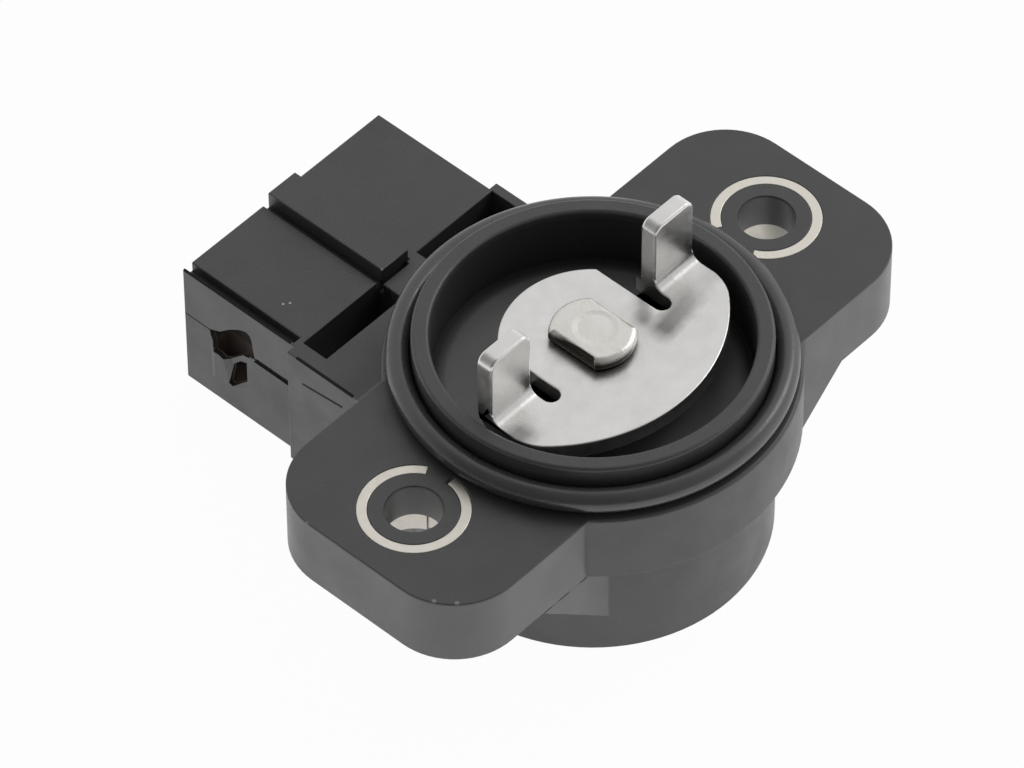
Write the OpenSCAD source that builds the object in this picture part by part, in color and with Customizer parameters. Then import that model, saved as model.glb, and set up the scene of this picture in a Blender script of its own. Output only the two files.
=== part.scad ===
// Throttle position sensor. A moulded housing with a two-hole flange carries a cup
// with an O-ring, and in the cup a bent steel driver plate riveted to a sprung rotor.
// Inside, a wiper on the rotor runs over a resistive track, and three blades lead
// from the track's board to a rectangular plug socket.
// Origin: the shaft axis on the flange's mounting face. +Z points out of the mounting
// side, +X along the flange, +Y towards the mouth of the socket.

/* [Flange] */
// Distance between the two screw holes
hole_spacing = 40; // [38.5:0.5:43]
// How far the flange reaches beyond each screw hole
ear_reach = 6.4; // [6:0.1:8]
// Width of the flange
flange_width = 20.9; // [19.5:0.1:23]
// Thickness of the flange
flange_thick = 6.4; // [5.8:0.1:7.4]
// Radius of the flange's corners
flange_corner_r = 5.8; // [4:0.1:7]
// Radius of the round collar in the middle of the flange
collar_r = 16.1; // [15.9:0.1:16.8]
// Skin left over the hollows cored into the underside of the flange
flange_skin = 2.6; // [1.8:0.1:4]
// Wall around those hollows, also the thickness of the gussets
flange_wall = 1.9; // [1.4:0.1:2.4]
// Diameter of the screw holes
screw_hole_d = 4.5; // [4.2:0.1:5.4]
// Radius of the solid boss around each screw hole
screw_boss_r = 5.6; // [5.1:0.1:6.2]

/* [Mounting bushes] */
// Outer diameter of the rolled steel bushes
bush_od = 8.68; // [8.2:0.02:9.4]
// Wall of the rolled steel bushes
bush_wall = 0.81; // [0.6:0.01:1.1]
// Angle at which the left bush's split starts
left_split_from = -3; // [-20:1:10]
// Angle at which the left bush's split ends
left_split_to = 28; // [20:1:50]
// Angle at which the right bush's split starts
right_split_from = 148; // [130:1:160]
// Angle at which the right bush's split ends
right_split_to = 206; // [190:1:220]
// Depth to which the moulding lines the inside of the bushes
liner_depth = 3.3; // [2.6:0.1:4]

/* [Body] */
// Radius of the round body behind the flange
body_r = 14.15; // [14.0:0.05:15.2]
// Depth of the body, from the mounting face to the flat back
body_depth = 17.1; // [16.8:0.1:19]
// Distance from the axis at which the gussets meet the flange
gusset_reach = 17.1; // [16:0.1:18.5]
// Depth below the mounting face at which the gussets run into the body
gusset_depth = 13.4; // [11:0.1:15]
// Wall of the body around the back cover
rim_wall = 1; // [0.8:0.05:1.2]

/* [Cup] */
// Outer radius of the round spigot that stands on the mounting face
spigot_r = 13.83; // [13.5:0.01:14]
// Wall of the spigot
spigot_wall = 1.41; // [1.1:0.01:1.7]
// Height of the spigot's rim over the mounting face
spigot_height = 3.28; // [2.8:0.02:4.4]
// Depth of the cup's floor below the mounting face
cup_depth = 2.05; // [1.6:0.05:2.4]
// Thickness of the cup's floor
floor_thick = 1.8; // [1.4:0.1:2.2]
// Section diameter of the O-ring around the spigot
o_ring_section = 1.9; // [1.5:0.05:2.1]

/* [Web between body and socket] */
// Half width of the web
web_half = 11.95; // [11.8:0.05:12.4]
// How far from the axis the web ends
web_end = 20.85; // [20.7:0.05:21.6]
// Depth of the web's top below the mounting face
web_top = 4.72; // [4.2:0.02:5.4]
// How far from the axis the two slots in the web's top start
slots_from = 18.1; // [17.6:0.1:19]
// Left end of the left slot
left_slot_from = -10.4; // [-10.8:0.1:-9]
// Right end of the left slot
left_slot_to = -1.85; // [-3:0.05:-1.65]
// Left end of the right slot
right_slot_from = 2.4; // [2:0.1:3.4]
// Right end of the right slot
right_slot_to = 11.1; // [9.5:0.1:11.1]
// Plastic left between the floor of the slots and the terminals
slot_cover = 1.3; // [0.9:0.1:1.6]
// Width of the channel between the slots, behind the key rib
channel_width = 0.4; // [0.3:0.05:0.6]
// Depth of that channel
channel_depth = 1.2; // [0.6:0.1:2]
// How far the channel stays short of the key rib's right side
channel_stop = 0.4; // [0.2:0.1:1]

/* [Socket] */
// Half width of the socket's shroud
shroud_half = 11.15; // [10.8:0.05:11.4]
// How far from the axis the back of the shroud stands
shroud_back = 20.55; // [20.2:0.05:20.65]
// How far from the axis the mouth of the shroud stands
shroud_mouth = 32.7; // [31.5:0.1:36]
// Wall of the shroud
shroud_wall = 1.4; // [1.2:0.05:1.6]
// Radius of the socket's inner corners
socket_corner_r = 1.2; // [0.8:0.1:2]
// Wall between the socket and the slots
socket_floor = 1.65; // [1.4:0.05:2.4]
// Width of the key rib along the top of the shroud
key_rib_width = 3; // [2.4:0.1:3.6]
// Height of the key rib
key_rib_height = 1; // [0.8:0.05:1.3]
// Width of the guide slot in the socket under the key rib
key_slot_width = 1.6; // [1.2:0.1:1.8]
// Depth of that guide slot
key_slot_depth = 0.8; // [0.5:0.05:1]
// Width of the groove along the foot of the key rib
foot_groove_width = 0.55; // [0.3:0.05:0.7]
// Depth of that groove
foot_groove_depth = 0.6; // [0.3:0.05:0.7]
// Lip left outside the groove along the shroud's left top edge
edge_lip = 0.25; // [0.2:0.05:0.4]
// Width of that groove
edge_groove_width = 0.75; // [0.5:0.05:0.8]
// Depth of that groove
edge_groove_depth = 0.9; // [0.5:0.05:1]
// Depth of the latch window's middle below the mounting face
window_depth = 9.6; // [9.2:0.05:10.2]
// How far behind the mouth the latch window starts
window_setback = 2.7; // [2:0.1:3.2]
// Plastic left outside the pocket behind the latch window
window_skin = 0.5; // [0.4:0.05:0.6]
// Depth of that pocket
window_pocket = 1.8; // [1.4:0.1:2]
// Wall between the pocket and the socket
window_wall = 0.7; // [0.6:0.05:0.8]
// Height of the groove from the latch window back to the web
window_groove = 0.6; // [0.4:0.05:0.8]

/* [Terminals] */
// Spacing of the three blades
blade_pitch = 5; // [4.5:0.1:5.6]
// Width of a blade
blade_width = 2.8; // [2.2:0.1:3.2]
// Thickness of a blade
blade_thick = 0.8; // [0.6:0.05:1]
// How far a blade's tip stays behind the mouth
blade_setback = 3; // [2:0.1:5]
// Length of a blade's tapered tip
blade_taper = 1; // [0.6:0.1:1.6]
// Width of the terminal where it runs through the web
neck_width = 1.6; // [1.2:0.1:2]
// Distance of the terminals' bent legs from the round part of the board
leg_reach = 2.9; // [2.6:0.1:3.2]
// Length of the leg that stands out under the board
leg_tail = 0.8; // [0.5:0.05:1]

/* [Shaft and bearing] */
// Radius of the shaft
shaft_r = 4; // [3.6:0.05:4.2]
// How much smaller the shaft's neck in the driver plate is, all round
neck_shoulder = 0.78; // [0.7:0.02:1]
// How much wider the riveted head is than that neck, all round
head_lip = 0.2; // [0.1:0.05:0.4]
// How much is cut off each side of the head for its flats
head_cut = 1; // [0.8:0.05:1.2]
// Height of the riveted head over the driver plate
head_height = 1.25; // [0.8:0.05:1.6]
// Wall of the bearing bush
bearing_wall = 1.2; // [0.9:0.05:1.3]
// Wall of the plastic boss around the bearing
boss_wall = 1.1; // [0.9:0.05:1.3]
// Height of the lip seal above the bearing
seal_height = 1.6; // [1.2:0.1:1.9]
// Width of the lip seal around the shaft
seal_width = 2.2; // [1.9:0.05:2.3]
// Width of the thrust washer around the shaft
washer_width = 1.3; // [1:0.1:2]
// Thickness of the thrust washer
washer_thick = 0.4; // [0.3:0.05:0.5]

/* [Driver plate] */
// Height of the plate's top over the mounting face
plate_top = 2.45; // [2.3:0.05:3]
// Thickness of the plate
plate_thick = 1.5; // [1.2:0.05:1.6]
// Radius of the plate's hub
hub_r = 7.25; // [7.15:0.05:7.6]
// Radius of the long arc along the plate's lower edge
lobe_r = 14.2; // [13.4:0.1:16]
// Distance from the axis to that arc
lobe_reach = 9.13; // [8.6:0.05:10]
// Radius of the plate's two outer corners
lobe_corner_r = 4.4; // [3:0.1:4.8]
// Inner edge of the relief slots beside the hub
slot_inner = 5.55; // [5.2:0.05:5.9]
// Inner edge of the tabs
tab_inner = 7; // [6.7:0.05:7.4]
// Outer edge of the tabs
tab_outer = 11.4; // [10.8:0.05:11.5]
// Distance of the relief slots' round ends beyond the axis
slot_end = 2.1; // [1.6:0.05:2.6]
// Height of the bent tabs over the mounting face
tab_top = 8.9; // [7:0.1:11]
// Inner radius of the bend
bend_r = 0.9; // [0.6:0.05:1.2]
// Radius of the tabs' upper corners
tab_corner_r = 0.9; // [0.5:0.05:1.4]

/* [Rotor inside] */
// Room between the carrier and the wall of its chamber
carrier_room = 1.3; // [1.2:0.05:1.5]
// Thickness of the carrier
carrier_thick = 2.2; // [1.8:0.1:2.4]
// Height of the carrier over the board
wiper_drop = 2.6; // [2.4:0.05:2.8]
// Room between the stop lug and the wall of the chamber
lug_room = 0.4; // [0.3:0.05:0.5]
// Place of the stop lug at rest, as an angle from +X
stop_lug_angle = 40; // [30:1:50]
// Half angle of the stop lug
stop_lug_half = 8; // [6:1:10]
// Angle through which the rotor turns
travel = 100; // [85:1:110]
// How much smaller the shaft's end in the carrier is, all round
end_shoulder = 0.8; // [0.7:0.05:1]
// How much is cut off each side of the shaft's end for its flats
end_cut = 0.8; // [0.6:0.05:1]
// Thickness of the retaining clip
clip_thick = 0.6; // [0.4:0.05:0.7]
// Room between the retaining clip and the edge of the board's hole
clip_room = 0.7; // [0.5:0.1:1]
// Depth of the clip's groove below the flats of the shaft's end
clip_groove = 0.2; // [0.15:0.05:0.3]
// Angle of the wiper at rest
wiper_angle = 200; // [190:1:210]
// Thickness of the wiper's sheet
wiper_thick = 0.25; // [0.2:0.05:0.3]
// Width of a wiper finger
finger_width = 1; // [0.7:0.1:1.2]
// Wire diameter of the return spring
spring_wire = 0.7; // [0.5:0.05:0.8]
// Room between the return spring and the bearing's boss
spring_room = 0.65; // [0.4:0.05:0.9]
// Coils of the return spring
spring_turns = 3.5; // [2.5:0.5:3.5]

/* [Board] */
// Height of the board's top over the flat back of the body
board_to_back = 4; // [3.9:0.05:4.4]
// Width of the ledge on which the board rests
board_ledge = 0.6; // [0.4:0.05:0.8]
// Thickness of the board
board_thick = 1; // [0.8:0.05:1.2]
// Half width of the board's tongue
tongue_half = 7; // [6.8:0.05:7.4]
// How far the board's tongue reaches beyond the terminals' legs
tongue_reach = 2; // [1.8:0.1:2.4]
// Distance of the resistive track's edge from the edge of the carrier
track_inset = 0.3; // [0.1:0.05:0.5]
// Width of the resistive track
resistor_width = 1.65; // [1.3:0.05:1.8]
// Gap between the two tracks
track_gap = 0.35; // [0.25:0.05:0.5]
// Width of the collector track
collector_width = 1.6; // [1.3:0.05:1.8]
// Bare rim of the board inside the collector track
board_rim = 0.9; // [0.6:0.05:1.2]
// Thickness of the printed tracks
print_thick = 0.1; // [0.05:0.01:0.15]
// Angle by which the track starts before the wiper at rest
track_start = 12; // [8:1:16]
// Angle by which the track ends after the wiper's last position
track_end = 20; // [14:1:24]
// Width of the printed leads
lead_width = 0.7; // [0.5:0.05:0.9]

/* [Back cover] */
// Thickness of the back cover
cover_thick = 1.5; // [1.3:0.05:1.7]
// How far the cover stays inside the housing's back face
cover_inset = 0.1; // [0.05:0.05:0.2]
// Thickness of the gasket under the cover
gasket_thick = 0.4; // [0.3:0.05:0.5]
// Width of the gasket
gasket_width = 0.95; // [0.8:0.05:1.1]

/* [Hidden] */
$fn = 96;

black = [0.13, 0.13, 0.14];
rubber_black = [0.07, 0.07, 0.07];
steel = [0.8, 0.79, 0.77];
bright_steel = [0.87, 0.85, 0.8];
bronze = [0.72, 0.55, 0.3];
spring_grey = [0.55, 0.55, 0.56];
board_green = [0.2, 0.36, 0.26];
tin = [0.78, 0.78, 0.76];

// Clearances
running_gap = 0.05;
seat_gap = 0.05;
axial_gap = 0.1;
contact_gap = 0.1;
print_room = 0.3;
corner_ease = 0.03;
past = 1;

// Widths that follow each other, from the body's wall in to the tracks
flange_length = hole_spacing + 2 * ear_reach;
bush_inner_r = bush_od / 2 - bush_wall;
cup_r = spigot_r - spigot_wall;
cover_r = body_r - rim_wall - seat_gap;
board_r = cover_r - gasket_width - seat_gap;
chamber_r = board_r - board_ledge;
stop_lug_r = chamber_r - lug_room;
carrier_r = chamber_r - carrier_room;
resistor_to = carrier_r - track_inset;
resistor_from = resistor_to - resistor_width;
collector_to = resistor_from - track_gap;
collector_from = collector_to - collector_width;
board_hole_r = collector_from - board_rim;
leg_place = board_r + leg_reach;
tongue_end = leg_place + tongue_reach;
pad_r = tongue_reach - board_ledge - axial_gap;
pad_overlap = 0.2;
cover_tongue_half = tongue_half + seat_gap + gasket_width;
cover_tongue_end = tongue_end + seat_gap + gasket_width;
cover_corner_r = 1.2;
tongue_corner_r = 1;

// Widths around the shaft
neck_r = shaft_r - neck_shoulder;
head_r = neck_r + head_lip;
head_flat = head_r - head_cut;
neck_flat = head_flat - head_lip;
shaft_end_r = shaft_r - end_shoulder;
shaft_end_flat = shaft_end_r - end_cut;
clip_groove_r = shaft_end_flat - clip_groove;
clip_r = board_hole_r - clip_room;
bearing_r = shaft_r + bearing_wall;
boss_r = bearing_r + boss_wall;
seal_r = shaft_r + seal_width;
cup_boss_r = seal_r + 0.9;
washer_r = shaft_r + axial_gap + washer_width;
spring_r = boss_r + spring_room + spring_wire / 2;

// Heights: the cup's side hangs on the driver plate, the board's side on the flat back
plate_z = plate_top - plate_thick;
boss_top = plate_z - axial_gap - washer_thick;
seal_z = boss_top - seat_gap - seal_height;
board_z = board_to_back - body_depth;
board_under = board_z - board_thick;
carrier_z = board_z + wiper_drop;
bearing_z = carrier_z + carrier_thick + axial_gap;
bearing_length = seal_z - bearing_z;
ceiling_z = -cup_depth - floor_thick;
clip_z = carrier_z - seat_gap - clip_thick;
shaft_end_z = clip_z - 0.7;
cover_top = cover_inset + cover_thick - body_depth;
rebate_z = cover_top + gasket_thick;
socket_z = -(web_top + body_depth) / 2;
socket_back = shroud_back + socket_floor;
blade_tip = shroud_mouth - blade_setback;
guide_rib_in = window_skin + window_pocket + window_wall;
guide_rib_end = shroud_mouth - window_setback + 1;
slots_floor = -socket_z - blade_thick / 2 - slot_cover;
slot_r = (tab_inner - slot_inner) / 2;
track_from = wiper_angle - track_start;
track_to = wiper_angle + travel + track_end;

// Plain shapes
module rounded_rect(size_x, size_y, r) {
    square([size_x - 2 * r, size_y], center = true);
    square([size_x, size_y - 2 * r], center = true);
    for (x = [-1, 1], y = [-1, 1])
        translate([x * (size_x / 2 - r), y * (size_y / 2 - r)])
            circle(r);
}

module wedge(r, from, to) {
    step = (to - from) / 8;
    polygon(concat([[0, 0]], [for (i = [0:8]) 2 * r * [cos(from + i * step), sin(from + i * step)]]));
}

module arc_band(r_in, r_out, from, to) {
    intersection() {
        difference() {
            circle(r_out);
            circle(r_in);
        }
        wedge(r_out, from, to);
    }
}

module double_d(r, flat) {
    intersection() {
        circle(r);
        square([2 * flat, 2 * r], center = true);
    }
}

module keyhole(r, half, end, corner) {
    circle(r);
    translate([0, end / 2])
        rounded_rect(2 * half, end, corner);
}

// Flange with its cored underside, its collar and the gussets down to the body
module flange_outline(inset = 0) {
    rounded_rect(flange_length - 2 * inset, flange_width - 2 * inset, flange_corner_r - inset);
}

module flange_hollows() {
    linear_extrude(flange_thick - flange_skin + past)
        difference() {
            flange_outline(flange_wall);
            circle(collar_r);
            for (x = [-1, 1])
                translate([x * hole_spacing / 2, 0])
                    circle(screw_boss_r);
        }
}

module flange() {
    translate([0, 0, -flange_thick])
        difference() {
            linear_extrude(flange_thick)
                flange_outline();
            translate([0, 0, -past])
                flange_hollows();
        }
    translate([0, 0, -flange_thick])
        cylinder(r = collar_r, h = flange_thick);
}

module gusset() {
    meet = sqrt(body_r * body_r - flange_width * flange_width / 4) - 0.6;
    rotate([90, 0, 0])
        linear_extrude(flange_wall)
            polygon([
                [-gusset_reach, -flange_thick], [gusset_reach, -flange_thick],
                [meet, -gusset_depth - 0.55], [-meet, -gusset_depth - 0.55]
            ]);
}

// Web that carries the socket, with two slots open to the top and a channel between them
module web_slot(from, to, start, floor_depth) {
    translate([from, start, -floor_depth])
        cube([to - from, shroud_back - start, floor_depth]);
}

module web_slots() {
    web_slot(left_slot_from, left_slot_to, slots_from, slots_floor);
    web_slot(right_slot_from, right_slot_to, slots_from, slots_floor);
    web_slot(left_slot_to - past, key_rib_width / 2 - channel_stop, shroud_back - channel_width,
        web_top + channel_depth);
}

module web() {
    difference() {
        translate([-web_half, 0, -body_depth])
            cube([2 * web_half, web_end, body_depth - web_top]);
        web_slots();
    }
}

// Shroud of the socket with its key rib, the two grooves in its top and a guide rib inside
module shroud() {
    length = shroud_mouth - shroud_back;
    translate([-shroud_half, shroud_back, -body_depth])
        cube([2 * shroud_half, length, body_depth - web_top]);
    translate([-key_rib_width / 2, shroud_back, -web_top - past])
        cube([key_rib_width, length, key_rib_height + past]);
}

module socket_cut() {
    translate([0, socket_back, socket_z])
        rotate([-90, 0, 0])
            linear_extrude(shroud_mouth - socket_back + past)
                rounded_rect(2 * (shroud_half - shroud_wall),
                    body_depth - web_top - 2 * shroud_wall, socket_corner_r);
    translate([-key_slot_width / 2, socket_back, -web_top - shroud_wall - past])
        cube([key_slot_width, shroud_mouth - socket_back + past, key_slot_depth + past]);
}

module guide_rib() {
    translate([-shroud_half + past / 2, socket_back - past / 2, -body_depth + past / 2])
        cube([guide_rib_in - past / 2, guide_rib_end - socket_back + past / 2,
            body_depth - web_top - past]);
}

module shroud_grooves() {
    translate([-shroud_half + edge_lip, web_end + edge_lip, -web_top - edge_groove_depth])
        cube([edge_groove_width, shroud_mouth, edge_groove_depth + past]);
    translate([-key_rib_width / 2 - foot_groove_width, shroud_back, -web_top - foot_groove_depth])
        cube([foot_groove_width, shroud_mouth, foot_groove_depth + past]);
}

// Latch window in the shroud's left side, with a slot and a shallow dip below it. The
// outlines are [y, z] from the window's front corner
window_outline = [
    [0, 0], [-1.1, 0.5], [-2.2, 1.55], [-3.25, 2.3], [-3.95, 2.6], [-4.4, 2.4], [-4.55, 2],
    [-4.8, 0.3], [-3.95, -0.6], [-3.4, -0.7], [-2.9, -1.2], [-2, -2.15], [-1.35, -2.55],
    [-0.9, -2.4], [-0.3, -2.4], [-0.3, -1.15], [-0.1, -0.6]
];
slot_outline = [
    [-2.35, -2.45], [-1.9, -4.9], [-2.3, -5], [-3.75, -3.5], [-3.75, -1.35], [-3.1, -1.6]
];
dip_outline = [
    [-0.25, -2], [-0.25, -5.3], [-2, -5.4], [-3.9, -4], [-4.7, -1.2], [-4.7, -0.2], [-3, 0]
];
dip_depth = 0.2;

module side_cut(outline, depth) {
    translate([-shroud_half - past, shroud_mouth - window_setback, -window_depth])
        rotate([90, 0, 90])
            linear_extrude(past + depth)
                polygon(outline);
}

module latch_window() {
    side_cut(window_outline, window_skin + past / 2);
    side_cut(slot_outline, window_skin + past / 2);
    side_cut(dip_outline, dip_depth);
    translate([-shroud_half + window_skin, shroud_mouth - window_setback - 5.2, -window_depth - 5.2])
        cube([window_pocket, 5.5, 8.1]);
    translate([-shroud_half - past, web_end + edge_lip, -window_depth - window_groove / 2])
        cube([past + window_skin / 2, shroud_mouth - window_setback - 4.5 - web_end - edge_lip,
            window_groove]);
}

module housing_outside() {
    flange();
    translate([0, flange_width / 2, 0])
        gusset();
    translate([0, flange_wall - flange_width / 2, 0])
        gusset();
    translate([0, 0, -body_depth])
        cylinder(r = body_r, h = body_depth);
    cylinder(r = spigot_r, h = spigot_height);
    web();
    shroud();
}

module cup_cut() {
    difference() {
        translate([0, 0, -cup_depth])
            cylinder(r = cup_r, h = cup_depth + spigot_height + past);
        translate([0, 0, -cup_depth])
            cylinder(r = cup_boss_r, h = cup_depth + boss_top);
    }
}

// Chamber over the board, with the bearing boss, the two stops and the spring's post
module stop_rib(angle) {
    linear_extrude(ceiling_z - carrier_z)
        arc_band(stop_lug_r - 0.6, chamber_r + past, angle - 5, angle + 5);
}

module chamber_cut() {
    turned = stop_lug_half + 6;
    difference() {
        translate([0, 0, board_z])
            cylinder(r = chamber_r, h = ceiling_z - board_z);
        translate([0, 0, bearing_z])
            cylinder(r = boss_r, h = ceiling_z - bearing_z);
        translate([0, 0, carrier_z]) {
            stop_rib(stop_lug_angle - turned);
            stop_rib(stop_lug_angle + travel + turned);
        }
    }
    translate([0, 0, rebate_z - past])
        linear_extrude(board_z - rebate_z + past)
            keyhole(board_r + seat_gap, tongue_half + seat_gap, tongue_end + seat_gap, tongue_corner_r);
    translate([-tongue_half + board_ledge, 0, board_z - past])
        cube([2 * (tongue_half - board_ledge), tongue_end - board_ledge, past + print_room]);
    translate([0, 0, -body_depth - past])
        linear_extrude(rebate_z + body_depth + past)
            keyhole(cover_r + seat_gap, cover_tongue_half + seat_gap, cover_tongue_end + seat_gap,
                cover_corner_r);
}

module bearing_cut() {
    translate([0, 0, bearing_z - past])
        cylinder(r = bearing_r + seat_gap / 2, h = bearing_length + past);
    translate([0, 0, seal_z])
        cylinder(r = seal_r + seat_gap, h = boss_top - seal_z + past);
}

module split_bush(from, to, more = 0) {
    translate([0, 0, -flange_thick - more])
        rotate([0, 0, to])
            rotate_extrude(angle = 360 - to + from)
                translate([bush_inner_r, 0])
                    square([bush_wall, flange_thick + 2 * more]);
}

module screw_holes() {
    for (x = [-1, 1])
        translate([x * hole_spacing / 2, 0, -flange_thick - past]) {
            cylinder(d = screw_hole_d, h = flange_thick + 2 * past);
            cylinder(r = bush_inner_r + bush_wall / 4, h = flange_thick + past - liner_depth);
        }
}

module housing() {
    color(black)
        difference() {
            housing_outside();
            cup_cut();
            chamber_cut();
            bearing_cut();
            screw_holes();
            translate([-hole_spacing / 2, 0, 0])
                split_bush(left_split_from, left_split_to, past);
            translate([hole_spacing / 2, 0, 0])
                split_bush(right_split_from, right_split_to, past);
            difference() {
                socket_cut();
                guide_rib();
            }
            shroud_grooves();
            latch_window();
            for (i = [-1:1])
                terminal(i);
        }
}

module mounting_bush_left() {
    color(bright_steel)
        translate([-hole_spacing / 2, 0, 0])
            split_bush(left_split_from, left_split_to);
}

module mounting_bush_right() {
    color(bright_steel)
        translate([hole_spacing / 2, 0, 0])
            split_bush(right_split_from, right_split_to);
}

module flange_o_ring() {
    color(rubber_black)
        translate([0, 0, o_ring_section / 2 + seat_gap])
            rotate_extrude()
                translate([spigot_r + seat_gap + o_ring_section / 2, 0])
                    circle(d = o_ring_section);
}

// Driver plate: blanked outline, then two tabs bent up on their inner radius
module corner_tip() {
    centre_x = tab_outer - lobe_corner_r + corner_ease;
    inside = lobe_r - lobe_corner_r + corner_ease;
    drop = sqrt(inside * inside - centre_x * centre_x);
    translate([centre_x, lobe_r - lobe_reach - drop])
        difference() {
            wedge(lobe_corner_r, -atan2(drop, centre_x), 0);
            circle(lobe_corner_r);
        }
}

module plate_outline() {
    difference() {
        union() {
            circle(hub_r);
            intersection() {
                translate([0, lobe_r - lobe_reach])
                    circle(lobe_r);
                translate([-tab_outer, -lobe_reach])
                    square([2 * tab_outer, lobe_reach - bend_r]);
            }
        }
        corner_tip();
        mirror([1, 0])
            corner_tip();
        for (side = [-1, 1]) {
            translate([side * (slot_inner + slot_r), slot_r - slot_end])
                circle(slot_r);
            translate([side * (slot_inner + slot_r), slot_r - slot_end + hub_r / 2])
                square([2 * slot_r, hub_r], center = true);
        }
        double_d(neck_r, neck_flat);
    }
}

module bend_profile() {
    outer = bend_r + plate_thick;
    translate([-bend_r, outer])
        intersection() {
            difference() {
                circle(outer);
                circle(bend_r);
            }
            translate([0, -outer])
                square(outer);
        }
    translate([0, outer])
        square([plate_thick, tab_top - plate_z - outer - tab_corner_r]);
}

module bent_tab() {
    width = tab_outer - tab_inner;
    translate([tab_inner, 0, plate_z])
        rotate([90, 0, 90])
            linear_extrude(width)
                bend_profile();
    translate([tab_inner + width / 2, plate_thick, tab_top - width / 2])
        rotate([90, 0, 0])
            linear_extrude(plate_thick)
                intersection() {
                    rounded_rect(width, width, tab_corner_r);
                    translate([0, width / 2])
                        square([width, 2 * tab_corner_r], center = true);
                }
}

module driver_plate() {
    color(steel) {
        translate([0, 0, plate_z])
            linear_extrude(plate_thick)
                plate_outline();
        bent_tab();
        mirror([1, 0, 0])
            bent_tab();
    }
}

// Shaft: riveted double-D head, journal, double-D end with the clip's groove
module rotor_shaft() {
    color(steel)
        difference() {
            union() {
                translate([0, 0, plate_top])
                    linear_extrude(head_height)
                        double_d(head_r, head_flat);
                translate([0, 0, plate_z])
                    linear_extrude(plate_thick)
                        double_d(neck_r - seat_gap / 2, neck_flat - seat_gap / 2);
                translate([0, 0, bearing_z - axial_gap])
                    cylinder(r = shaft_r, h = plate_z - bearing_z + axial_gap);
                translate([0, 0, shaft_end_z])
                    linear_extrude(bearing_z - axial_gap - shaft_end_z)
                        double_d(shaft_end_r, shaft_end_flat);
            }
            translate([0, 0, clip_z - seat_gap])
                difference() {
                    cylinder(r = shaft_end_r + past, h = clip_thick + 2 * seat_gap);
                    cylinder(r = clip_groove_r, h = clip_thick + 2 * seat_gap);
                }
        }
}

module thrust_washer() {
    color(bronze)
        translate([0, 0, boss_top])
            difference() {
                cylinder(r = washer_r, h = washer_thick);
                translate([0, 0, -past])
                    cylinder(r = shaft_r + axial_gap, h = washer_thick + 2 * past);
            }
}

module shaft_seal() {
    lip = 0.5;
    color(rubber_black)
        translate([0, 0, seal_z + seat_gap / 2])
            rotate_extrude()
                polygon([
                    [shaft_r + running_gap, seal_height - lip], [shaft_r + running_gap + lip, 0],
                    [seal_r, 0], [seal_r, seal_height], [shaft_r + running_gap, seal_height]
                ]);
}

module shaft_bearing() {
    color(bronze)
        translate([0, 0, bearing_z])
            difference() {
                cylinder(r = bearing_r, h = bearing_length);
                translate([0, 0, -past])
                    cylinder(r = shaft_r + running_gap, h = bearing_length + 2 * past);
            }
}

// Torsion spring: close coils round the boss, one leg out to the wall, one leg down
spring_top = ceiling_z - spring_wire / 2 - 0.15;
spring_low = bearing_z + axial_gap + spring_wire / 2;
spring_steps = 24;
spring_start = stop_lug_angle + travel + 40;
spring_last = spring_start + 360 * spring_turns;

function coil_point(i) =
    let (f = i / (spring_steps * spring_turns), a = spring_start + f * 360 * spring_turns)
    [spring_r * cos(a), spring_r * sin(a), spring_top + f * (spring_low - spring_top)];

function spring_path() = concat(
    [[(chamber_r - 0.5) * cos(spring_start - 8), (chamber_r - 0.5) * sin(spring_start - 8), spring_top]],
    [for (i = [0:spring_steps * spring_turns]) coil_point(i)],
    [[spring_r * cos(spring_last + 7), spring_r * sin(spring_last + 7), spring_low - 0.35],
        [spring_r * cos(spring_last + 8), spring_r * sin(spring_last + 8), spring_low - 1.6]]
);

function unit(v) = v / norm(v);
function path_way(p, i) = unit(p[min(i + 1, len(p) - 1)] - p[max(i - 1, 0)]);
function path_ring(centre, way, r, sides) =
    let (a = unit(cross(way, [0.25, 0.2, 0.95])), b = cross(way, a))
    [for (j = [0:sides - 1]) centre + r * (cos(360 * j / sides) * a + sin(360 * j / sides) * b)];

module swept_wire(path, r, sides) {
    rings = [for (i = [0:len(path) - 1]) path_ring(path[i], path_way(path, i), r, sides)];
    last = len(path) - 1;
    polyhedron(
        points = [for (ring = rings) for (p = ring) p],
        faces = concat(
            [[for (j = [0:sides - 1]) j]],
            [[for (j = [sides - 1:-1:0]) last * sides + j]],
            [for (i = [0:last - 1], j = [0:sides - 1])
                [i * sides + j, (i + 1) * sides + j, (i + 1) * sides + (j + 1) % sides]],
            [for (i = [0:last - 1], j = [0:sides - 1])
                [i * sides + j, (i + 1) * sides + (j + 1) % sides, i * sides + (j + 1) % sides]]
        )
    );
}

module return_spring() {
    color(spring_grey)
        swept_wire(spring_path(), spring_wire / 2, 10);
}

// Carrier on the shaft's end, with the stop lug, the spring's hole and two stake pins
wiper_base_from = -4.6;
wiper_base_to = -1.6;
wiper_inner = collector_from - 0.6;
wiper_outer = resistor_to - 0.8;
stake_inset = 0.9;
stake_r = 0.55;

module stake_places() {
    for (x = [wiper_inner + stake_inset, wiper_outer - stake_inset])
        rotate([0, 0, wiper_angle])
            translate([x, (wiper_base_from + wiper_base_to) / 2, 0])
                children();
}

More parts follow.
